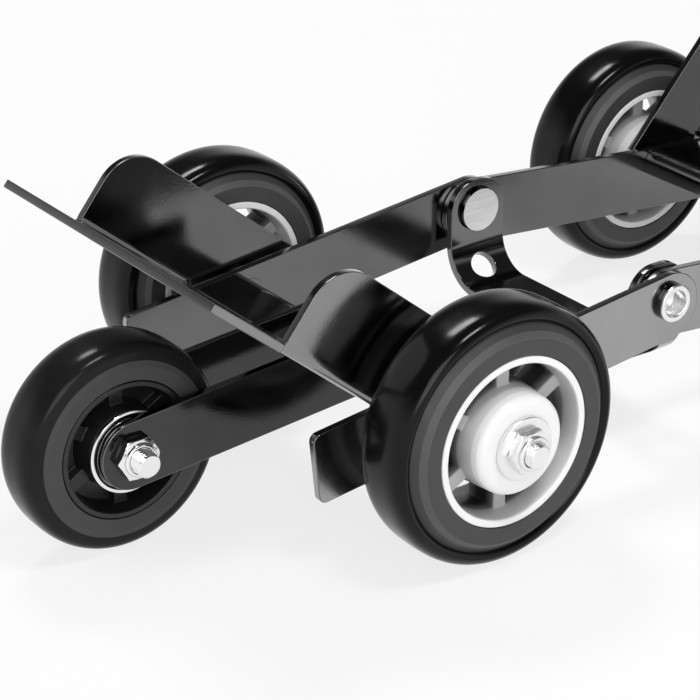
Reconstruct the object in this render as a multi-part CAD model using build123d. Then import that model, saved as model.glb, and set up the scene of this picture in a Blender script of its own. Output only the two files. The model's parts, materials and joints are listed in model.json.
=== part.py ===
from build123d import *
import os
from math import cos, radians, sin, tan

# Motorcycle mover: a low cradle on wheels that carries a motorcycle by one flat tyre.
# X runs along the mover with the nose wheel towards -X, Y runs across it and Z is up.
# Left is -Y and right is +Y, as seen by someone who faces the way the nose points.
# The origin is on the ground, below the middle of the overall length. Sizes are in millimetres.

# Main wheels
wheel_radius = 62.5
wheel_half_width = 18.25
rim_radius = 40.5
rim_wall = 3.4
hub_radius = 23.5
hub_half_width = 23.0
hub_edge_radius = 4.0
spoke_count = 6
spoke_width = 7.0
spoke_half_depth = 9.0
shoulder_radius = 13.0
core_draft = 2.0

# Nose wheel
nose_radius = 51.0
nose_half_width = 15.0
nose_rim_radius = 33.0
nose_rim_wall = 2.5
nose_hub_radius = 19.0
nose_hub_half_width = 14.6
nose_hub_edge_radius = 2.0
nose_web_thickness = 4.0
nose_spoke_half_depth = 7.0
nose_shoulder_radius = 11.0
nose_reach = 266.0

# Axles, bearings and fasteners
stud_radius = 6.0
sleeve_radius = 9.0
bush_radius = 13.0
spacer_radius = 10.0
bearing_proud = 0.3
washer_radius = 15.0
washer_thickness = 2.3
nut_flats = 19.0
nut_height = 6.5
stud_tail = 3.5
stud_chamfer = 1.0
nose_washer_radius = 20.0
bolt_head_height = 7.0
nose_bolt_tail = 6.5

# Side bars
bar_height = 35.0
bar_thickness = 4.0
bar_reach = 210.5
bar_corner = 4.0
frame_half_width = 79.4
front_drop = 6.25
rear_drop = 5.0
front_axle_reach = 137.2
rear_axle_reach = 143.5
pivot_rise = 13.4
pin_offset = 3.3

# Pivot pins
pin_radius = 8.0
pin_head_radius = 12.0
pin_head_height = 2.2
pin_collar_radius = 9.5
pin_collar_height = 4.3
pin_recess_radius = 6.4
pin_recess_depth = 9.0

# Ramps
plate_thickness = 4.0
bend_radius = 3.0
lip_depth = 13.0
cheek_overhang = 6.8
cheek_gap = 3.0
cheek_drop = 2.0
cheek_corner = 21.0
cheek_bend_radius = 3.0
front_fold_reach = 170.0
front_foot_length = 29.0
front_ramp_bend = 45.5
front_ramp_length = 120.5
front_cheek_start = 44.5
front_cheek_height = 43.5
rear_fold_reach = 167.0
rear_foot_length = 45.0
rear_ramp_bend = 53.0
rear_ramp_length = 98.0
rear_cheek_start = 30.0
rear_cheek_height = 38.0

# Nose fork
tine_thickness = 4.0
tine_height = 33.5
tine_inner_half = 17.0
tine_rise = 3.0
tine_tail = 9.0

# Saddle bracket
saddle_width = 35.0
saddle_thickness = 4.0
saddle_depth = 36.0
saddle_tab_rise = 16.0
saddle_tab_flat = 5.0
saddle_bend_radius = 19.0
saddle_hole_radius = 7.2

# Clearances
running_clearance = 0.05
press_clearance = 0.02
side_gap = 0.3
slot_clearance = 0.1
wheel_clearance = 0.7

# Heights and planes worked out from the sizes above
pivot_height = wheel_radius + pivot_rise
nose_drop = pivot_height - nose_radius
front_bar_outer = frame_half_width
rear_bar_outer = front_bar_outer - bar_thickness - side_gap
saddle_outer = rear_bar_outer - bar_thickness - side_gap
pin_head_outer = saddle_outer - saddle_thickness - side_gap
bar_top = bar_height / 2 - pin_offset
wheel_track = 2 * (front_bar_outer + cheek_overhang + wheel_clearance + hub_half_width)
wheel_middle = wheel_track / 2
sleeve_half_length = hub_half_width + bearing_proud


def across(point, drop):
    """Turn an (X, Z) point measured from the pivot into a bar's own frame, which drops outwards."""
    x, z = point
    angle = radians(drop)
    return x * cos(angle) - z * sin(angle), x * sin(angle) + z * cos(angle)


def slab(outline, y_from, y_to):
    """Solid with a flat X-Z outline between two Y planes."""
    return Pos(0, y_to, 0) * extrude(Plane.XZ * outline, amount=y_to - y_from)


def rounded_outline(points, radii):
    """Closed outline through (X, Z) points with one corner radius each."""
    return make_face(FilletPolyline(*points, radius=radii, close=True))


def rod(centre, y_from, y_to, radius):
    """Round bar along Y through an (X, Z) centre."""
    x, z = centre
    return Pos(x, (y_from + y_to) / 2, z) * Rot(90, 0, 0) * Cylinder(radius, y_to - y_from)


def tube(centre, y_from, y_to, outer, inner):
    """Round tube along Y through an (X, Z) centre."""
    return rod(centre, y_from, y_to, outer) - rod(centre, y_from, y_to, inner)


def turned(points, radii):
    """Solid of revolution about Y from (radius, Y) points."""
    return revolve(rounded_outline(points, radii), Axis.Y)


def sided(shape, side):
    """Shape modelled on the right (+Y), or its mirror image where it belongs on the left."""
    return shape if side > 0 else mirror(shape, Plane.XZ)


def tyre(radius, half_width, bore, shoulder):
    """Solid tyre with a flat side wall and rounded shoulders."""
    points = [(bore, -half_width), (radius, -half_width), (radius, half_width), (bore, half_width)]
    return turned(points, [0, shoulder, shoulder, 0])


def core(half_width, rim, wall, hub, hub_half, hub_edge, bore, depth):
    """Spoked wheel core: tapered rim, tapered hub with round edges, and evenly spaced spokes."""
    rim_inside = rim - wall
    rim_ring = turned(
        [
            (rim, -half_width),
            (rim, half_width),
            (rim_inside, half_width),
            (rim_inside - core_draft, 0),
            (rim_inside, -half_width),
        ],
        [0, 0, 0, 0, 0],
    )
    hub_body = turned(
        [(bore, -hub_half), (hub, -hub_half), (hub + core_draft, 0), (hub, hub_half), (bore, hub_half)],
        [0, hub_edge, 0, hub_edge, 0],
    )
    spoke_inner = (bore + hub) / 2
    spoke_outer = rim_inside + wall / 2
    spoke_middle = (spoke_inner + spoke_outer) / 2
    spoke = Pos(spoke_middle, 0, 0) * Box(spoke_outer - spoke_inner, 2 * depth, spoke_width)
    body = rim_ring + hub_body
    spacing = 360 / spoke_count
    for index in range(spoke_count):
        body += Rot(0, spacing * (index + 0.5), 0) * spoke
    return body


def bush(hub_half):
    """Plain bearing bush that is pressed into a wheel hub."""
    return tube((0, 0), -hub_half, hub_half, bush_radius, sleeve_radius + running_clearance)


def sleeve(half_length):
    """Fixed sleeve on which a wheel's bush runs."""
    return tube((0, 0), -half_length, half_length, sleeve_radius, stud_radius + press_clearance)


def hexagon(height):
    """Chamfered hexagon, from Y 0 to its height."""
    corner_radius = nut_flats / 2 / cos(radians(30))
    flat_radius = nut_flats / 2
    chamfer_height = (corner_radius - flat_radius) * tan(radians(30))
    prism = slab(RegularPolygon(corner_radius, 6), 0, height)
    crown = turned(
        [
            (0, 0),
            (corner_radius, 0),
            (corner_radius, height - chamfer_height),
            (flat_radius, height),
            (0, height),
        ],
        [0, 0, 0, 0, 0],
    )
    return prism & crown


def nut():
    """Hexagon nut, from Y 0 outwards."""
    return hexagon(nut_height) - rod((0, 0), 0, nut_height, stud_radius + press_clearance)


def shank(y_from, y_to):
    """Axle shank along Y with a chamfered outer end."""
    points = [
        (0, y_from),
        (stud_radius, y_from),
        (stud_radius, y_to - stud_chamfer),
        (stud_radius - stud_chamfer, y_to),
        (0, y_to),
    ]
    return turned(points, [0, 0, 0, 0, 0])


def side_bar(outer_face, axle):
    """Right-hand side bar along +X from the pivot, with its pin hole and axle hole."""
    low = -bar_height / 2 - pin_offset
    strip = rounded_outline(
        [(0, low), (bar_reach, low), (bar_reach, bar_top), (0, bar_top)], [0, bar_corner, bar_corner, 0]
    )
    pivot_end = Pos(0, -pin_offset) * Circle(bar_height / 2)
    inner_face = outer_face - bar_thickness
    bar = slab(strip + pivot_end, inner_face, outer_face)
    bar -= rod((0, 0), inner_face, outer_face, pin_radius + running_clearance)
    return bar - rod(axle, inner_face, outer_face, stud_radius + press_clearance)


def ramp(inner_half, axle, fold_reach, foot_length, bend, length, cheek_start, cheek_height):
    """Bent ramp plate between two side bars: lip, foot, sloping face and two cheeks.

    The sloping face stays a gap above the bars. The cheeks hang down a little outside the bars, and clear
    the axle's spacer there.
    """
    thickness = plate_thickness
    slope = radians(bend)
    outer_half = inner_half + bar_thickness + cheek_overhang
    lip_reach = fold_reach - foot_length
    fold = Vector(fold_reach, bar_top)
    along = Vector(cos(slope), sin(slope))
    upward = Vector(-sin(slope), cos(slope))
    crest = fold + along * length
    fold_below = fold + Vector(thickness * tan(slope / 2), -thickness)
    crest_below = crest - upward * thickness
    outer_bend = bend_radius + thickness
    sheet = rounded_outline(
        [
            (lip_reach, bar_top - lip_depth),
            (lip_reach, bar_top),
            fold,
            crest,
            crest_below,
            fold_below,
            (lip_reach + thickness, bar_top - thickness),
            (lip_reach + thickness, bar_top - lip_depth),
        ],
        [0, outer_bend, bend_radius, 0, 0, outer_bend, bend_radius, 0],
    )
    rest_below = fold + Vector(thickness * tan(slope / 2) + thickness / tan(slope), 0)
    face = make_face(Polyline(fold, rest_below, crest_below, crest, close=True))
    cheek_low = crest - along * cheek_start
    cheek_top = cheek_low + upward * cheek_height
    gap_level = bar_top + cheek_gap
    tip_run = (cheek_top.Y - gap_level) / sin(slope)
    cheek_heel = fold + along * (cheek_gap / sin(slope))
    cheek_tip = cheek_top - along * tip_run
    skirt_depth = cheek_gap + cheek_drop
    skirt_start = cheek_heel - Vector(cheek_bend_radius / sin(slope), 0)
    skirt = make_face(
        Polyline(
            cheek_tip,
            skirt_start,
            skirt_start - Vector(0, skirt_depth),
            cheek_tip - along * (skirt_depth / sin(slope)),
            close=True,
        )
    )
    cheek = rounded_outline(
        [
            cheek_low - upward * thickness,
            cheek_top,
            cheek_tip,
            cheek_heel,
            cheek_heel - upward * thickness,
        ],
        [0, cheek_corner, 0, 0, 0],
    )
    channel = rounded_outline(
        [
            (-outer_half, cheek_height),
            (-outer_half, -thickness),
            (outer_half, -thickness),
            (outer_half, cheek_height),
            (outer_half - thickness, cheek_height),
            (outer_half - thickness, 0),
            (thickness - outer_half, 0),
            (thickness - outer_half, cheek_height),
        ],
        [0, cheek_bend_radius + thickness, cheek_bend_radius + thickness, 0, 0]
        + [cheek_bend_radius, cheek_bend_radius, 0],
    )
    channel_end = length - cheek_start
    channel_start = min(0, channel_end - tip_run)
    square = Plane((fold.X, 0, fold.Y), x_dir=(0, 1, 0), z_dir=(along.X, 0, along.Y))
    trough = extrude(square.offset(channel_start) * channel, amount=channel_end - channel_start)
    trough = trough & slab(cheek + face, -outer_half, outer_half)
    crest_strip = make_face(
        Polyline(cheek_low, cheek_low - upward * thickness, crest_below, crest, close=True)
    )
    body = slab(sheet, -inner_half, inner_half) + trough + slab(crest_strip, -outer_half, outer_half)
    wall_inner = outer_half - thickness
    spacer_room = rod(axle, wall_inner, outer_half, spacer_radius + side_gap)
    cheek_skirt = slab(skirt, wall_inner, outer_half) - spacer_room
    for side in (-1, 1):
        body += sided(cheek_skirt, side)
    return body


def tine(nose_axle):
    """Outline of a fork tine from just behind the front ramp's lip to the nose axle."""
    nose = Vector(*nose_axle)
    root = Vector(front_fold_reach - front_foot_length, bar_top + tine_rise - tine_height / 2)
    along = (nose - root).normalized()
    upward = Vector(-along.Y, along.X)
    half = upward * (tine_height / 2)
    tail = root - along * tine_tail
    strip = make_face(Polyline(tail - half, nose - half, nose + half, tail + half, close=True))
    return strip + Pos(nose.X, nose.Y) * Circle(tine_height / 2)


def saddle():
    """U-shaped saddle strip with round-topped tabs that hangs from the two pivot pins."""
    inner = saddle_outer - saddle_thickness
    base_top = -saddle_depth
    base_below = base_top - saddle_thickness
    tab_top = saddle_tab_rise
    half = saddle_width / 2
    tab_corner = half - saddle_tab_flat / 2
    outer_bend = saddle_bend_radius + saddle_thickness
    section = rounded_outline(
        [
            (-saddle_outer, tab_top),
            (-saddle_outer, base_below),
            (saddle_outer, base_below),
            (saddle_outer, tab_top),
            (inner, tab_top),
            (inner, base_top),
            (-inner, base_top),
            (-inner, tab_top),
        ],
        [0, outer_bend, outer_bend, 0, 0, saddle_bend_radius, saddle_bend_radius, 0],
    )
    strip = extrude(Plane.YZ * section, amount=half, both=True)
    side_view = rounded_outline(
        [(-half, base_below), (half, base_below), (half, tab_top), (-half, tab_top)],
        [0, 0, tab_corner, tab_corner],
    )
    body = strip & slab(side_view, -saddle_outer, saddle_outer)
    body -= rod((0, 0), -saddle_outer, saddle_outer, pin_radius + running_clearance)
    bend_centre_y = inner - saddle_bend_radius
    bend_centre_z = base_top + saddle_bend_radius
    drill = Pos(0, 0, -outer_bend) * Cylinder(saddle_hole_radius, 2 * saddle_thickness + saddle_bend_radius)
    for side in (-1, 1):
        body -= Pos(0, side * bend_centre_y, bend_centre_z) * Rot(side * 45, 0, 0) * drill
    return body


def pivot_pin():
    """Right-hand pivot pin: flat head inside, shank through the plates, hollow riveted collar outside."""
    head_inner = pin_head_outer - pin_head_height
    collar_outer = front_bar_outer + pin_collar_height
    pin = rod((0, 0), head_inner, collar_outer, pin_radius)
    pin += rod((0, 0), head_inner, pin_head_outer, pin_head_radius)
    pin += rod((0, 0), front_bar_outer, collar_outer, pin_collar_radius)
    return pin - rod((0, 0), collar_outer - pin_recess_depth, collar_outer, pin_recess_radius)


# Places of the axles, measured from the pivot, in each half-frame's own outward frame
front_axle = across((front_axle_reach, -pivot_rise), front_drop)
rear_axle = across((rear_axle_reach, -pivot_rise), rear_drop)
nose_axle = across((nose_reach, -nose_drop), front_drop)

# Overall length, which sets the origin
rear_slope = radians(rear_ramp_bend)
rear_crest_reach = rear_fold_reach + rear_ramp_length * cos(rear_slope)
rear_crest_rise = bar_top + rear_ramp_length * sin(rear_slope)
rear_edge_reach = rear_crest_reach + plate_thickness * sin(rear_slope)
rear_edge_rise = rear_crest_rise - plate_thickness * cos(rear_slope)
rear_turn = radians(rear_drop)
rear_end = max(
    rear_crest_reach * cos(rear_turn) + rear_crest_rise * sin(rear_turn),
    rear_edge_reach * cos(rear_turn) + rear_edge_rise * sin(rear_turn),
    rear_axle_reach + wheel_radius,
)
front_end = nose_reach + nose_radius
pivot_place = Pos((front_end - rear_end) / 2, 0, pivot_height)
front_place = pivot_place * Rot(0, 0, 180) * Rot(0, front_drop, 0)
rear_place = pivot_place * Rot(0, rear_drop, 0)

nodes = {}

# Half-frames: the front one is turned half round, so its left and right change places
for name, side in (("left", 1), ("right", -1)):
    nodes[f"front_{name}_bar"] = front_place * sided(side_bar(front_bar_outer, front_axle), side)
    nodes[f"rear_{name}_bar"] = rear_place * sided(side_bar(rear_bar_outer, rear_axle), -side)

tine_outline = tine(nose_axle)
tine_outer_half = tine_inner_half + tine_thickness
fork_slot = slab(tine_outline, tine_inner_half - slot_clearance, tine_outer_half + slot_clearance)
front_ramp = ramp(
    front_bar_outer - bar_thickness,
    front_axle,
    front_fold_reach,
    front_foot_length,
    front_ramp_bend,
    front_ramp_length,
    front_cheek_start,
    front_cheek_height,
)
nose_hole = rod(nose_axle, tine_inner_half, tine_outer_half, stud_radius + press_clearance)
right_tine = slab(tine_outline, tine_inner_half, tine_outer_half) - nose_hole
for name, side in (("left", 1), ("right", -1)):
    front_ramp -= sided(fork_slot, side)
    nodes[f"nose_fork_{name}_tine"] = front_place * sided(right_tine, side)
nodes["front_ramp"] = front_place * front_ramp
nodes["rear_ramp"] = rear_place * ramp(
    rear_bar_outer - bar_thickness,
    rear_axle,
    rear_fold_reach,
    rear_foot_length,
    rear_ramp_bend,
    rear_ramp_length,
    rear_cheek_start,
    rear_cheek_height,
)

# Pivot pins and the saddle that hangs from them
nodes["saddle_bracket"] = pivot_place * saddle()
for name, side in (("left", -1), ("right", 1)):
    nodes[f"{name}_pivot_pin"] = pivot_place * sided(pivot_pin(), side)

# Main wheels with their axles
main_tyre = tyre(wheel_radius, wheel_half_width, rim_radius, shoulder_radius)
main_core = core(
    wheel_half_width,
    rim_radius,
    rim_wall,
    hub_radius,
    hub_half_width,
    hub_edge_radius,
    bush_radius,
    spoke_half_depth,
)
sleeve_inner = wheel_middle - sleeve_half_length
sleeve_outer = wheel_middle + sleeve_half_length
washer_outer = sleeve_outer + washer_thickness
nut_outer = washer_outer + nut_height
stud_hole = stud_radius + press_clearance
for end, reach, bar_outer in (
    ("front", -front_axle_reach, front_bar_outer),
    ("rear", rear_axle_reach, rear_bar_outer),
):
    axle_place = pivot_place * Pos(reach, 0, -pivot_rise)
    for name, side in (("left", -1), ("right", 1)):
        corner = f"{end}_{name}"
        wheel_place = axle_place * Pos(0, side * wheel_middle, 0)
        nodes[f"{corner}_tyre"] = wheel_place * main_tyre
        nodes[f"{corner}_core"] = wheel_place * main_core
        nodes[f"{corner}_bush"] = wheel_place * bush(hub_half_width)
        nodes[f"{corner}_sleeve"] = wheel_place * sleeve(sleeve_half_length)
        fixed = {
            "stud": shank(bar_outer - bar_thickness, nut_outer + stud_tail),
            "spacer": tube((0, 0), bar_outer, sleeve_inner, spacer_radius, stud_hole),
            "washer": tube((0, 0), sleeve_outer, washer_outer, washer_radius, stud_hole),
            "nut": Pos(0, washer_outer, 0) * nut(),
        }
        for piece, shape in fixed.items():
            nodes[f"{corner}_{piece}"] = axle_place * sided(shape, side)

# Nose wheel between the fork tines, with the bolt's head on the right and its nut on the left
nose_place = pivot_place * Pos(-nose_reach, 0, -nose_drop)
nose_sleeve_half = nose_hub_half_width + bearing_proud
nose_washer = tube((0, 0), nose_sleeve_half, tine_inner_half, nose_washer_radius, stud_hole)
nose_bolt = shank(-tine_outer_half, tine_outer_half + nut_height + nose_bolt_tail)
nose_bolt += Pos(0, -tine_outer_half, 0) * mirror(hexagon(bolt_head_height), Plane.XZ)
nose_spokes = core(
    nose_half_width,
    nose_rim_radius,
    nose_rim_wall,
    nose_hub_radius,
    nose_hub_half_width,
    nose_hub_edge_radius,
    bush_radius,
    nose_spoke_half_depth,
)
nose_web_reach = nose_rim_radius - nose_rim_wall
nose_web = tube((0, 0), -nose_web_thickness / 2, nose_web_thickness / 2, nose_web_reach, nose_hub_radius)
nodes["nose_tyre"] = nose_place * tyre(nose_radius, nose_half_width, nose_rim_radius, nose_shoulder_radius)
nodes["nose_core"] = nose_place * (nose_spokes + nose_web)
nodes["nose_bush"] = nose_place * bush(nose_hub_half_width)
nodes["nose_sleeve"] = nose_place * sleeve(nose_sleeve_half)
for name, side in (("left", -1), ("right", 1)):
    nodes[f"nose_{name}_washer"] = nose_place * sided(nose_washer, side)
nodes["nose_bolt"] = nose_place * sided(nose_bolt, -1)
nodes["nose_nut"] = nose_place * sided(Pos(0, tine_outer_half, 0) * nut(), -1)

os.makedirs("parts", exist_ok=True)
for node, shape in nodes.items():
    export_step(shape, f"parts/{node}.step")
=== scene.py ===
import json
from math import cos, pi, radians, sin, tan

import bmesh
import bpy
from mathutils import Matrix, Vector
from mathutils.bvhtree import BVHTree


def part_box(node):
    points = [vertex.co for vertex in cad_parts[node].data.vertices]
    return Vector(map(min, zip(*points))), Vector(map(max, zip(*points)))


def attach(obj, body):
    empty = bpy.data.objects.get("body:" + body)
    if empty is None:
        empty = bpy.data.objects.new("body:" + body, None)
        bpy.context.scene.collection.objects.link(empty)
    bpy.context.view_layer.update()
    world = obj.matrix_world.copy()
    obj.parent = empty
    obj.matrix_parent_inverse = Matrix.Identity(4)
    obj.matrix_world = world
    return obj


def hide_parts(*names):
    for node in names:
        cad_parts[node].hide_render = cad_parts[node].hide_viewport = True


# Looks of the motorcycle mover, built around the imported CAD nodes. Lengths are in metres, and
# those of turned outlines in millimetres.
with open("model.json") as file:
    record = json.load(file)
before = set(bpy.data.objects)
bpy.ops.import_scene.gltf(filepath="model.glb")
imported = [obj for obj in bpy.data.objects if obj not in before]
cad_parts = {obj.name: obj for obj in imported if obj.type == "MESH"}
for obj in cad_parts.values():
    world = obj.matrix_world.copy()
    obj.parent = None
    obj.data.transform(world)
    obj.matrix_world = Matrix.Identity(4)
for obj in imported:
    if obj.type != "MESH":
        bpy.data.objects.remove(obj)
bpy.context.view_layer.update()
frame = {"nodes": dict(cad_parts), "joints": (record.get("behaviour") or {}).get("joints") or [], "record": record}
mm = 0.001

joints = {joint["name"]: joint for joint in frame["joints"]}
body_of_node = {
    node: body for body, members in frame["record"]["behaviour"]["bodies"].items() for node in members
}
slot_of_node = {part["node"]: part["material_slot"] for part in frame["record"]["subparts"]}
pivot = Vector(joints["fold"]["pos_m"])
corners = [f"{end}_{side}" for end in ("front", "rear") for side in ("left", "right")]


# Materials

class Finish:
    """Node material with a Principled shader and short calls to add nodes to it."""

    def __init__(self, name, metallic, roughness, **constants):
        self.material = bpy.data.materials.new(name)
        self.material.use_nodes = True
        self.tree = self.material.node_tree
        self.shader = self.tree.nodes["Principled BSDF"]
        self.shader.inputs["Metallic"].default_value = metallic
        self.shader.inputs["Roughness"].default_value = roughness
        for socket, value in constants.items():
            self.shader.inputs[socket.replace("_", " ")].default_value = value
        self.place = self.tree.nodes.new("ShaderNodeTexCoord").outputs["Object"]

    def stretched(self, scale):
        """Object coordinates scaled by one number for each axis."""
        mapping = self.tree.nodes.new("ShaderNodeMapping")
        mapping.inputs["Scale"].default_value = scale
        self.tree.links.new(self.place, mapping.inputs["Vector"])
        return mapping.outputs["Vector"]

    def noise(self, scale, detail=3.0, place=None):
        """Noise whose features are about 1 / scale metres across."""
        texture = self.tree.nodes.new("ShaderNodeTexNoise")
        texture.inputs["Scale"].default_value = scale
        texture.inputs["Detail"].default_value = detail
        self.tree.links.new(place or self.place, texture.inputs["Vector"])
        return texture.outputs["Fac"]

    def ramp(self, value, stops):
        """Colours along a value from 0 to 1, from (position, colour) stops."""
        ramp = self.tree.nodes.new("ShaderNodeValToRGB")
        elements = ramp.color_ramp.elements
        while len(elements) < len(stops):
            elements.new(1.0)
        for element, (position, colour) in zip(elements, stops):
            element.position = position
            element.color = (*colour, 1.0)
        self.tree.links.new(value, ramp.inputs["Fac"])
        return ramp.outputs["Color"]

    def patchy(self, value, low, high):
        """Colours from low to high over the middle of a noise."""
        return self.ramp(value, [(0.3, low), (0.7, high)])

    def math(self, operation, first, second=0.0):
        """One arithmetic step on an output and a number."""
        step = self.tree.nodes.new("ShaderNodeMath")
        step.operation = operation
        step.inputs[1].default_value = second
        self.tree.links.new(first, step.inputs[0])
        return step.outputs[0]

    def across(self):
        """Place across the mover."""
        split = self.tree.nodes.new("ShaderNodeSeparateXYZ")
        self.tree.links.new(self.place, split.inputs["Vector"])
        return split.outputs["Y"]

    def spread(self, value, low, high):
        """The middle of a noise stretched to run from low to high."""
        spread = self.tree.nodes.new("ShaderNodeMapRange")
        spread.inputs["From Min"].default_value = 0.3
        spread.inputs["From Max"].default_value = 0.7
        spread.inputs["To Min"].default_value = low
        spread.inputs["To Max"].default_value = high
        self.tree.links.new(value, spread.inputs["Value"])
        return spread.outputs["Result"]

    def set(self, socket, output):
        self.tree.links.new(output, self.shader.inputs[socket])

    def bump(self, height, distance):
        """Surface relief of that depth in metres, at full strength."""
        bump = self.tree.nodes.new("ShaderNodeBump")
        bump.inputs["Distance"].default_value = distance
        bump.inputs["Strength"].default_value = 1.0
        self.tree.links.new(height, bump.inputs["Height"])
        self.set("Normal", bump.outputs["Normal"])


def grey(value):
    return (value, value, value)


def paint(name, dark, light, smooth, rough, coat=0.0):
    """Glossy black stoved paint over steel, with a faint orange-peel skin."""
    finish = Finish(name, 1.0, rough, Coat_Weight=coat, Coat_Roughness=smooth)
    finish.set("Base Color", finish.patchy(finish.noise(35), grey(dark), grey(light)))
    finish.set("Roughness", finish.spread(finish.noise(90, 5), smooth, rough))
    finish.bump(finish.noise(1100, 2), 0.00002)
    return finish.material


def bright_metal(name, dark, light, smooth, rough, scratch):
    """Plated or ground steel with fine drawn lines."""
    finish = Finish(name, 1.0, rough)
    lines = finish.noise(1.0, 4, finish.stretched(scratch))
    finish.set("Base Color", finish.patchy(lines, grey(dark), grey(light)))
    finish.set("Roughness", finish.spread(lines, smooth, rough))
    return finish.material


def rubber(name, dark, light, smooth, rough, specular, grain, depth):
    """Cast black polyurethane with a fine skin."""
    finish = Finish(name, 0.0, rough, Specular_IOR_Level=specular)
    finish.set("Base Color", finish.patchy(finish.noise(60), grey(dark), grey(light)))
    finish.set("Roughness", finish.spread(finish.noise(200, 5), smooth, rough))
    finish.bump(finish.noise(grain, 3), depth)
    return finish.material


def moulded(name, dark, light, smooth, rough):
    """Moulded nylon with a fine spark-eroded grain."""
    finish = Finish(name, 0.0, rough)
    finish.set("Base Color", finish.patchy(finish.noise(45), grey(dark), grey(light)))
    finish.set("Roughness", finish.spread(finish.noise(250, 4), smooth, rough))
    finish.bump(finish.noise(2200, 2), 0.00002)
    return finish.material


def core_nylon_with_painted_shade(name, smooth, rough):
    """White moulded nylon with painted shade: dark deep between the spokes and white at the outer faces.

    Each painted shade goes with a distance from the core's middle plane, in millimetres.
    """
    low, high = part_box("front_right_core")
    middle = (low.y + high.y) / 2
    half = (high.y - low.y) / 2
    finish = Finish(name, 0.0, rough)
    from_middle = finish.math("SUBTRACT", finish.math("ABSOLUTE", finish.across()), middle)
    depth = finish.math("DIVIDE", finish.math("ABSOLUTE", from_middle), half)
    # Painted shade: the nylon is darker the nearer it lies to the middle plane, standing in for the shade in the
    # pockets between the spokes.
    painted_shades = [(3.0, 0.02), (7.5, 0.18), (9.0, 0.44), (16.4, 0.62), (18.0, 0.87)]
    stops = [(reach * mm / half, grey(shade)) for reach, shade in painted_shades]
    finish.set("Base Color", finish.ramp(depth, stops))
    finish.set("Roughness", finish.spread(finish.noise(250, 4), smooth, rough))
    finish.bump(finish.noise(2200, 2), 0.00002)
    return finish.material


# One black paint in copies of different brightness that paint in light and shade. The bar paint and the cheeks'
# outer paint are lighter copies, painted light where they mirror the bright floor. The copies for inner faces,
# ramps and tines are darker, painted shade.
bar_paint = paint("bar_paint", 0.33, 0.36, 0.14, 0.20)
shaded_inner_paint = paint("shaded_inner_paint", 0.14, 0.16, 0.12, 0.18)
ramp_paint = paint("ramp_paint", 0.13, 0.15, 0.10, 0.15, 0.7)
cheek_paint = paint("cheek_paint", 0.25, 0.27, 0.10, 0.15)
shaded_inner_cheek_paint = paint("shaded_inner_cheek_paint", 0.12, 0.14, 0.10, 0.15)
shaded_tine_paint = paint("shaded_tine_paint", 0.06, 0.07, 0.09, 0.13)
paint_edge = paint("paint_edge", 0.15, 0.20, 0.16, 0.24)
zinc = bright_metal("zinc", 0.86, 0.90, 0.26, 0.34, (200, 900, 200))
polished_zinc = bright_metal("polished_zinc", 0.86, 0.90, 0.12, 0.17, (200, 900, 200))
# Darkened zinc, painted shade: on the nose nut's flanks and in the nose washer's sunk middle.
shaded_zinc = bright_metal("shaded_zinc", 0.16, 0.24, 0.16, 0.24, (200, 900, 200))
ground_steel = bright_metal("ground_steel", 0.74, 0.95, 0.30, 0.40, (40, 500, 1500))
tread_rubber = rubber("tread_rubber", 0.003, 0.004, 0.14, 0.19, 0.20, 500, 0.00001)
wall_rubber = rubber("wall_rubber", 0.036, 0.042, 0.46, 0.56, 0.5, 1400, 0.00003)
# Painted light and shade on the tyre walls: the border rubber is a lighter copy of the wall rubber where the
# sloping border catches the light, and the shoulder rubber is a darker copy, painted shade.
lit_border_rubber = rubber("lit_border_rubber", 0.068, 0.075, 0.46, 0.56, 0.5, 1400, 0.00003)
shaded_shoulder_rubber = rubber("shaded_shoulder_rubber", 0.028, 0.033, 0.46, 0.56, 0.5, 1400, 0.00003)
nose_tread_rubber = rubber("nose_tread_rubber", 0.010, 0.014, 0.17, 0.22, 0.13, 900, 0.00001)
nose_wall_rubber = rubber("nose_wall_rubber", 0.040, 0.046, 0.44, 0.54, 0.4, 1400, 0.00003)
white_nylon = core_nylon_with_painted_shade("white_nylon", 0.34, 0.46)
black_nylon = moulded("black_nylon", 0.006, 0.010, 0.32, 0.44)
bearing_nylon = moulded("bearing_nylon", 0.10, 0.16, 0.36, 0.5)

slot_material = {
    "frame_paint": bar_paint,
    "zinc": zinc,
    "bearing_steel": ground_steel,
    "black_tyre": tread_rubber,
    "white_core": white_nylon,
    "black_core": black_nylon,
    "bearing_plastic": bearing_nylon,
}
for node, shape in frame["nodes"].items():
    shape.data.materials.clear()
    shape.data.materials.append(slot_material[slot_of_node[node]])


# Mesh helpers

def finished(name, mesh, materials, node, smooth_angle=32):
    """New piece from a mesh, in place of a CAD node and riding on its body."""
    for material in materials:
        mesh.materials.append(material)
    mesh.polygons.foreach_set("use_smooth", [True] * len(mesh.polygons))
    mesh.set_sharp_from_angle(angle=radians(smooth_angle))
    piece = bpy.data.objects.new(name, mesh)
    bpy.context.scene.collection.objects.link(piece)
    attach(piece, body_of_node[node])
    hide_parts(node)
    return piece


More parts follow.
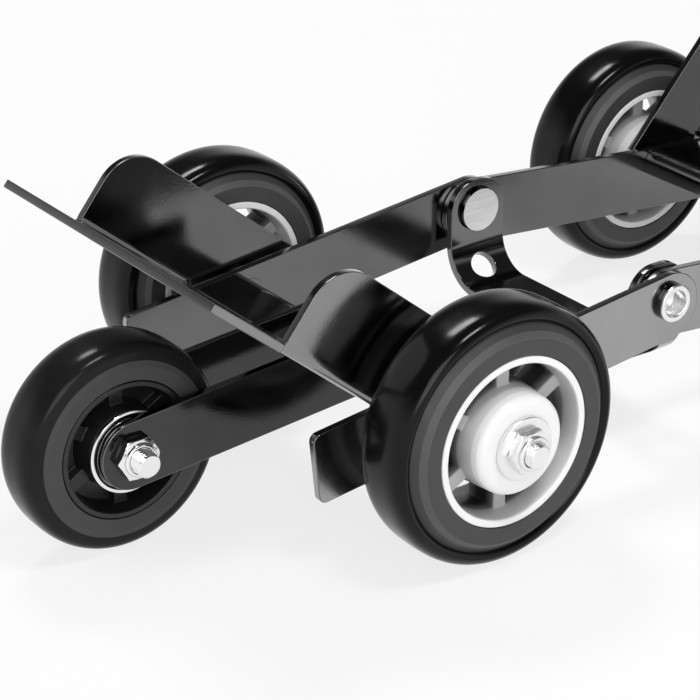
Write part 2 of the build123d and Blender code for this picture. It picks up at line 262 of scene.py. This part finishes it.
def softened(node, width, face_material, edge_material, inner_material=None, outer_material=None):
    """The node's shape with its sharp edges rounded over, as folded or sawn and then painted.

    The inner material, where there is one, is for the faces that look to the middle of the mover,
    and the outer one for those that look away from it. A darker inner copy of a paint is painted
    shade, and a lighter outer copy is painted light.
    """
    sharp_angle = 28
    flat_angle = 0.5
    smooth_angle = 60
    side_share = 0.5
    plain, edging, inner, outer = 0, 1, 2, 3
    materials = [face_material, edge_material]
    materials += [inner_material or face_material, outer_material or face_material]
    mesh = bpy.data.meshes.new(node + "_soft")
    shape = bmesh.new()
    shape.from_mesh(frame["nodes"][node].data)
    bmesh.ops.remove_doubles(shape, verts=shape.verts, dist=1e-6)
    bmesh.ops.dissolve_limit(shape, angle_limit=radians(flat_angle), verts=shape.verts, edges=shape.edges)
    crisp = [
        edge for edge in shape.edges if edge.is_manifold and edge.calc_face_angle(0) > radians(sharp_angle)
    ]
    for face in shape.faces:
        looks = face.normal.y * (1 if face.calc_center_median().y > 0 else -1)
        face.material_index = plain if abs(looks) < side_share else inner if looks < 0 else outer
    surface = BVHTree.FromBMesh(shape)
    bmesh.ops.bevel(
        shape, geom=crisp, offset=width, offset_type="OFFSET", segments=2, profile=0.5, affect="EDGES",
        clamp_overlap=False, material=edging,
    )
    # Points that a narrow corner threw off the plate come back to its surface.
    for point in shape.verts:
        nearest, _, _, distance = surface.find_nearest(point.co)
        if distance > width:
            point.co = nearest
    shape.to_mesh(mesh)
    shape.free()
    if "custom_normal" in mesh.attributes:
        mesh.attributes.remove(mesh.attributes["custom_normal"])
    piece = finished(node + "_piece", mesh, materials, node, smooth_angle)
    piece.modifiers.new("even_shading", "WEIGHTED_NORMAL")
    return piece


def rounded(outline_corners, steps=5):
    """Outline points (radius, along, material) from corners (radius, along, fillet, material)."""
    outline = []
    for index, (radius, along, fillet, material) in enumerate(outline_corners):
        corner = Vector((radius, along))
        if fillet == 0:
            outline.append((radius, along, material))
            continue
        before = (Vector(outline_corners[index - 1][:2]) - corner).normalized()
        after = (Vector(outline_corners[(index + 1) % len(outline_corners)][:2]) - corner).normalized()
        half_angle = before.angle(after) / 2
        middle = corner + (before + after).normalized() * (fillet / sin(half_angle))
        tangent_run = fillet / tan(half_angle)
        start = corner + before * tangent_run - middle
        end = corner + after * tangent_run - middle
        for step in range(steps + 1):
            point = middle + start.slerp(end, step / steps) * fillet
            outline.append((point.x, point.y, material))
    return outline


def lathe(node, outline, materials, outward=1, turned_steps=72, smooth_angle=32, trim=None):
    """Solid turned about an axis along Y, from (radius, along, material) points in millimetres.

    Along is measured from the node's left face, or from its right one where outward is -1.
    The trim function, where there is one, changes a radius by its place along and round the axis.
    """
    low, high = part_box(node)
    start = (low + high) / 2
    start.y = low.y if outward > 0 else high.y
    shape = bmesh.new()
    sections = []
    for step in range(turned_steps):
        turn = 2 * pi * step / turned_steps
        section = []
        for radius, along, _ in outline:
            reach = trim(radius, along, turn) if trim else radius
            offset = Vector((reach * cos(turn), outward * along, reach * sin(turn)))
            section.append(shape.verts.new(start + offset * mm))
        sections.append(section)
    for step, section in enumerate(sections):
        following = sections[(step + 1) % turned_steps]
        for index, (radius, _, material) in enumerate(outline):
            after = (index + 1) % len(outline)
            if radius == 0 and outline[after][0] == 0:
                continue
            face = shape.faces.new((section[index], section[after], following[after], following[index]))
            face.material_index = material
    bmesh.ops.remove_doubles(shape, verts=shape.verts, dist=1e-7)
    bmesh.ops.recalc_face_normals(shape, faces=shape.faces)
    mesh = bpy.data.meshes.new(node + "_turned")
    shape.to_mesh(mesh)
    shape.free()
    return finished(node + "_piece", mesh, materials, node, smooth_angle)


def length_of(node):
    """Size of a node across the mover, in millimetres."""
    low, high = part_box(node)
    return (high.y - low.y) / mm


def radius_of(node):
    """Half the size of a node along the mover, in millimetres."""
    low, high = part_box(node)
    return (high.x - low.x) / 2 / mm


# Frame plates and wheel cores

edge_width = 0.45 * mm
core_edge_width = 0.7 * mm
nose_core_edge_width = 0.5 * mm
# The darker paint on the inward faces of bars and cheeks is painted shade, and the lighter paint on the cheeks'
# outer faces is painted light.
for node in frame["nodes"]:
    if node.endswith("bar"):
        softened(node, edge_width, bar_paint, paint_edge, shaded_inner_paint)
    elif node.endswith("tine"):
        softened(node, edge_width, shaded_tine_paint, paint_edge)
    elif node.endswith("ramp"):
        softened(node, edge_width, ramp_paint, paint_edge, shaded_inner_cheek_paint, cheek_paint)
    elif slot_of_node[node] == "frame_paint":
        softened(node, edge_width, ramp_paint, paint_edge)
for corner in corners:
    softened(f"{corner}_core", core_edge_width, white_nylon, white_nylon)
softened("nose_core", nose_core_edge_width, black_nylon, black_nylon)


# Tyres

def tyre(node, core, wall_reach, borders, crown_reach, crown_depth, lip, fullness, materials):
    """Tyre with flat side walls, sloping borders to each and a crowned tread.

    Each border is a cone of some width and depth. The materials are for the wall, the borders and
    the tread. The tread is part of an oval that springs from a radius and a depth, with a fullness
    of 2, or squarer with more. Over the width of its lip it rolls down to the last border.
    """
    wall = 0
    tread = len(borders) + 1
    half = length_of(node) / 2
    radius = radius_of(node)
    bore = radius_of(core)
    lead = 0.65
    bore_fillet = 0.3
    lead_fillet = 0.5
    wall_fillet = 0.8
    fillet_steps = 6
    tread_steps = 48
    lip_steps = 8
    wall_corners = [
        (bore, lead, bore_fillet, wall),
        (bore + lead, 0, lead_fillet, wall),
        (wall_reach, 0, wall_fillet, wall + 1),
    ]
    tread_reach = wall_reach
    border_depth = 0
    for index, (width, depth) in enumerate(borders):
        tread_reach += width
        border_depth += depth
        wall_corners.append((tread_reach, border_depth, 0, index + 2))
    near_wall = rounded(wall_corners, fillet_steps)
    far_wall = []
    for index in reversed(range(len(near_wall))):
        reach, along, _ = near_wall[index]
        far_wall.append((reach, 2 * half - along, near_wall[max(index - 1, 0)][2]))
    crown = []
    for step in range(1, tread_steps):
        turn = pi * step / tread_steps
        rise = sin(turn) ** (2 / fullness)
        run = abs(cos(turn)) ** (2 / fullness) * (1 if turn < pi / 2 else -1)
        reach = crown_reach + (radius - crown_reach) * rise
        if reach > tread_reach + lip:
            crown.append((reach, half - (half - crown_depth) * run, tread))
    foot = Vector((tread_reach, border_depth))
    brow = Vector(crown[0][:2])
    bend = Vector((tread_reach + lip / 2, brow.y))
    near_lip = []
    for step in range(1, lip_steps if lip else 1):
        share = step / lip_steps
        point = foot.lerp(bend, share).lerp(bend.lerp(brow, share), share)
        near_lip.append((point.x, point.y, tread))
    far_lip = [(reach, 2 * half - along, tread) for reach, along, _ in reversed(near_lip)]
    outline = near_wall + near_lip + crown + far_lip + far_wall
    return lathe(node, outline, materials, turned_steps=144, smooth_angle=24)


# The lighter border rubber is painted light, and the darker shoulder rubber is painted shade.
main_rubbers = [wall_rubber, lit_border_rubber, shaded_shoulder_rubber, tread_rubber]
nose_rubbers = [nose_wall_rubber, nose_wall_rubber, nose_tread_rubber]
for corner in corners:
    tyre(
        f"{corner}_tyre", f"{corner}_core", wall_reach=49.0, borders=[(2.4, 2.4), (3.0, 2.6)],
        crown_reach=52.4, crown_depth=2.8, lip=3.0, fullness=3.4, materials=main_rubbers,
    )
tyre(
    "nose_tyre", "nose_core", wall_reach=40.0, borders=[(2.5, 0.72)],
    crown_reach=42.5, crown_depth=0.72, lip=0, fullness=3.0, materials=nose_rubbers,
)


# Axles and fasteners

nut_flats = 19.0
thread_pitch = 1.75
thread_depth = 0.85
stud_radius = 6.0
corner_room = 0.05
chamfer_room = 0.2
nut_corner = nut_flats / 2 / cos(pi / 6) + corner_room
stud_thread = 15
bolt_thread = 20
thread_chamfer = 1.0
spacer_edge = 0.5
washer_edge = 0.6
small_fillet_steps = 3


def hexagon_trim(radius, along, turn):
    """Radius cut back to a hexagon with corners along X."""
    from_flat = turn % (pi / 3) - pi / 6
    return min(radius, nut_flats / 2 / cos(from_flat))


def chamfer_rows(first, last, rows=4):
    """Outline points from one (radius, along) to another, close enough to show a curved chamfer."""
    points = []
    for row in range(rows + 1):
        share = row / rows
        radius = first[0] + (last[0] - first[0]) * share
        along = first[1] + (last[1] - first[1]) * share
        points.append((radius, along, 0))
    return points


def lock_nut(node, outward, bright, side):
    """Hexagon lock nut with a round domed collar, in one finish and another for its six sides."""
    plated, flank = 0, 1
    height = length_of(node)
    flat = nut_flats / 2
    hexagon_share = 0.7
    hexagon_height = height * hexagon_share
    lower_chamfer = 0.8
    upper_chamfer = 0.9
    collar = 8.3
    collar_foot = 0.25
    dome = 1.5
    mouth_width = 0.6
    mouth_fillet = 0.3
    mouth_depth = 0.9
    outline = [(stud_radius, 0, plated)]
    outline += chamfer_rows((flat, 0), (nut_corner, lower_chamfer))
    outline[-1] = (*outline[-1][:2], flank)
    shoulder = (nut_corner, hexagon_height - upper_chamfer)
    outline += chamfer_rows(shoulder, (flat - chamfer_room, hexagon_height))
    outline += rounded(
        [
            (collar, hexagon_height, collar_foot, plated),
            (collar, height, dome, plated),
            (stud_radius + mouth_width, height, mouth_fillet, plated),
            (stud_radius, height - mouth_depth, 0, plated),
        ]
    )
    return lathe(node, outline, [bright, side], outward, smooth_angle=24, trim=hexagon_trim)


def threaded_rows(start, end, material):
    """Outline points along a threaded stretch, close enough to show the thread."""
    rows_per_turn = 8
    rows = round((end - start) / thread_pitch * rows_per_turn)
    return [(stud_radius, start + (end - start) * row / rows, material) for row in range(rows + 1)]


def thread_trim(start, end, chamfer):
    """Trim that cuts a screw thread from start to end, with a chamfer at the end."""
    flank_rise = 1.2

    def trim(radius, along, turn):
        if along < start or radius == 0:
            return radius
        phase = (along / thread_pitch + turn / (2 * pi)) % 1
        groove = thread_depth * min(1, abs(2 * phase - 1) * flank_rise)
        run_in = min(1, (along - start) / thread_pitch)
        return min(radius - groove * run_in, radius - chamfer + (end - along))

    return trim


def stud(node, outward):
    """Axle stud, welded into its bar and painted there, with a thread at its outer end."""
    plated, painted = 0, 1
    length = length_of(node)
    thread_start = length - stud_thread
    # The inner end takes the bars' darker inner paint, painted shade like the inner face of the bar.
    outline = [(0, 0, painted), (stud_radius, 0, plated)]
    outline += threaded_rows(thread_start, length, plated)
    outline.append((0, length, plated))
    cut_thread = thread_trim(thread_start, length, thread_chamfer)
    return lathe(
        node, outline, [zinc, shaded_inner_paint], outward, turned_steps=48, smooth_angle=24, trim=cut_thread
    )


def ring(node, bore, outward, material, edge):
    """Flat ring or tube with eased edges."""
    thickness = length_of(node)
    radius = radius_of(node)
    outline = rounded(
        [
            (bore, 0, 0, 0),
            (radius, 0, edge, 0),
            (radius, thickness, edge, 0),
            (bore, thickness, edge / 2, 0),
        ],
        small_fillet_steps,
    )
    return lathe(node, outline, [material], outward, smooth_angle=30)


for corner in corners:
    outward = -1 if corner.endswith("left") else 1
    stud(f"{corner}_stud", outward)
    ring(f"{corner}_spacer", stud_radius, outward, zinc, spacer_edge)
    ring(f"{corner}_washer", stud_radius, outward, zinc, washer_edge)
    lock_nut(f"{corner}_nut", outward, zinc, zinc)


def nose_bolt(node):
    """Nose axle bolt with a hexagon head on the right and a thread on the left."""
    length = length_of(node)
    head = 7.0
    head_chamfer = 0.9
    thread_start = length - bolt_thread
    outline = [(0, 0, 0)] + chamfer_rows((nut_flats / 2 - chamfer_room, 0), (nut_corner, head_chamfer))
    outline += [(nut_corner, head, 0), (stud_radius, head, 0)]
    outline += threaded_rows(thread_start, length, 0)
    outline.append((0, length, 0))
    cut_thread = thread_trim(thread_start, length, thread_chamfer)

    def trim(radius, along, turn):
        return hexagon_trim(radius, along, turn) if along <= head else cut_thread(radius, along, turn)

    return lathe(node, outline, [polished_zinc], -1, smooth_angle=24, trim=trim)


def nose_washer(node, outward):
    """Large washer with a bright rolled rim and a sunk middle in darkened zinc, painted shade."""
    rim, middle = 0, 1
    thickness = length_of(node)
    radius = radius_of(node)
    sunk = 0.9
    rim_drop = 0.1
    rim_top = thickness - rim_drop
    groove_floor = thickness - sunk
    back_fillet = 0.4
    rim_fillet = 0.7
    rim_inner_fillet = 0.5
    rim_width = 1.9
    rim_foot = 2.5
    groove_foot = 3.6
    groove_width = 4.1
    groove_fillet = 0.3
    outline = rounded(
        [
            (stud_radius, 0, 0, rim),
            (radius, 0, back_fillet, rim),
            (radius, rim_top, rim_fillet, rim),
            (radius - rim_width, rim_top, rim_inner_fillet, middle),
            (radius - rim_foot, groove_floor, groove_fillet, middle),
            (radius - groove_foot, groove_floor, groove_fillet, middle),
            (radius - groove_width, thickness, groove_fillet, middle),
            (stud_radius, thickness, 0, rim),
        ],
        small_fillet_steps,
    )
    return lathe(node, outline, [polished_zinc, shaded_zinc], outward, turned_steps=96, smooth_angle=30)


nose_bolt("nose_bolt")
# The nut's flanks are in darkened zinc, painted shade.
lock_nut("nose_nut", -1, polished_zinc, shaded_zinc)
nose_washer("nose_left_washer", -1)
nose_washer("nose_right_washer", 1)


def pivot_pin(node, outward):
    """Hollow rivet: flat ground head inside, shank, and a rolled collar outside."""
    # The sides of the head and of the collar take the dark paint, painted shade.
    plated, ground, shaded_side = 0, 1, 2
    length = length_of(node)
    head_radius = radius_of(node)
    head = 2.2
    shank = 8.0
    collar = 9.5
    collar_height = 4.3
    recess = 6.4
    recess_depth = 9.0
    recess_floor = length - recess_depth
    recess_cone = 1.5
    head_chamfer = 0.4
    bright_rim = 1.2
    edge_fillet = 0.3
    collar_fillet = 1.0
    mouth_fillet = 1.2
    floor_fillet = 0.8
    outline = rounded(
        [
            (0, 0, 0, ground),
            (head_radius - head_chamfer, 0, 0, shaded_side),
            (head_radius, head_chamfer, 0, shaded_side),
            (head_radius, head, edge_fillet, shaded_side),
            (shank, head, 0, plated),
            (shank, length - collar_height, 0, plated),
            (collar, length - collar_height, edge_fillet, shaded_side),
            (collar, length - bright_rim, 0, plated),
            (collar, length, collar_fillet, plated),
            (recess, length, mouth_fillet, plated),
            (recess, recess_floor, floor_fillet, plated),
            (0, recess_floor - recess_cone, 0, plated),
        ]
    )
    return lathe(node, outline, [zinc, ground_steel, shaded_tine_paint], outward, smooth_angle=30)


pivot_pin("left_pivot_pin", -1)
pivot_pin("right_pivot_pin", 1)


# Floor, light and camera

def lamp(name, direction, distance, width, height, radiance):
    """Rectangular soft light in a direction from the pivot, as bright as its radiance."""
    light = bpy.data.lights.new(name, "AREA")
    light.shape = "RECTANGLE"
    light.size = width
    light.size_y = height
    light.energy = radiance * pi * width * height
    item = bpy.data.objects.new(name, light)
    aim = Vector(direction).normalized()
    item.location = pivot + aim * distance
    item.rotation_euler = (-aim).to_track_quat("-Z", "Y").to_euler()
    bpy.context.scene.collection.objects.link(item)
    return item


def floor():
    """Pale floor that stays white to the eye and in reflections, and still takes the shadow."""
    reach = 20.0
    glow_share = 0.78
    pale = 0.92
    mesh = bpy.data.meshes.new("floor")
    mesh.from_pydata(
        [(-reach, -reach, 0), (reach, -reach, 0), (reach, reach, 0), (-reach, reach, 0)], [], [(0, 1, 2, 3)]
    )
    item = bpy.data.objects.new("floor", mesh)
    bpy.context.scene.collection.objects.link(item)
    material = bpy.data.materials.new("floor")
    material.use_nodes = True
    tree = material.node_tree
    tree.nodes.remove(tree.nodes["Principled BSDF"])
    diffuse = tree.nodes.new("ShaderNodeBsdfDiffuse")
    glow = tree.nodes.new("ShaderNodeEmission")
    path = tree.nodes.new("ShaderNodeLightPath")
    seen = tree.nodes.new("ShaderNodeMath")
    seen.operation = "MAXIMUM"
    also = tree.nodes.new("ShaderNodeMath")
    also.operation = "MAXIMUM"
    share = tree.nodes.new("ShaderNodeMath")
    share.operation = "MULTIPLY"
    share.inputs[1].default_value = glow_share
    mix = tree.nodes.new("ShaderNodeMixShader")
    diffuse.inputs["Color"].default_value = (*grey(pale), 1)
    tree.links.new(path.outputs["Is Camera Ray"], seen.inputs[0])
    tree.links.new(path.outputs["Is Glossy Ray"], seen.inputs[1])
    tree.links.new(seen.outputs[0], also.inputs[0])
    tree.links.new(path.outputs["Is Transmission Ray"], also.inputs[1])
    tree.links.new(also.outputs[0], share.inputs[0])
    tree.links.new(share.outputs[0], mix.inputs["Fac"])
    tree.links.new(diffuse.outputs[0], mix.inputs[1])
    tree.links.new(glow.outputs[0], mix.inputs[2])
    tree.links.new(mix.outputs[0], tree.nodes["Material Output"].inputs["Surface"])
    mesh.materials.append(material)


def studio_world():
    """White round the horizon and dim overhead."""
    white_to = 0.18
    dim_from = 0.52
    dim = 0.05
    world = bpy.data.worlds.new("studio")
    world.use_nodes = True
    tree = world.node_tree
    place = tree.nodes.new("ShaderNodeTexCoord")
    split = tree.nodes.new("ShaderNodeSeparateXYZ")
    ramp = tree.nodes.new("ShaderNodeValToRGB")
    ramp.color_ramp.elements[0].position = white_to
    ramp.color_ramp.elements[0].color = (*grey(1), 1)
    ramp.color_ramp.elements[1].position = dim_from
    ramp.color_ramp.elements[1].color = (*grey(dim), 1)
    background = tree.nodes["Background"]
    tree.links.new(place.outputs["Generated"], split.inputs["Vector"])
    tree.links.new(split.outputs["Z"], ramp.inputs["Fac"])
    tree.links.new(ramp.outputs["Color"], background.inputs["Color"])
    bpy.context.scene.world = world


floor()
studio_world()
lamp_distance = 3.2
lamp("front_light", (-0.45, -0.80, 0.50), lamp_distance, width=1.8, height=1.9, radiance=3.7)
lamp("far_top_light", (0.06, 0.52, 0.85), lamp_distance, width=1.1, height=0.66, radiance=18)
lamp("near_top_light", (0.0, -0.36, 0.93), lamp_distance, width=0.9, height=0.56, radiance=26)

camera_offset = Vector((-0.75098, -0.83998, 0.47895))
camera_turn = 36.367
camera_dip = 25.518
camera = bpy.data.objects.new("camera", bpy.data.cameras.new("camera"))
camera.data.lens = 124.57
camera.data.sensor_width = 36
camera.location = pivot + camera_offset
camera.rotation_euler = (radians(90 - camera_dip), 0, radians(-camera_turn))
bpy.context.scene.collection.objects.link(camera)
bpy.context.scene.camera = camera
bpy.context.scene.view_settings.view_transform = "Standard"
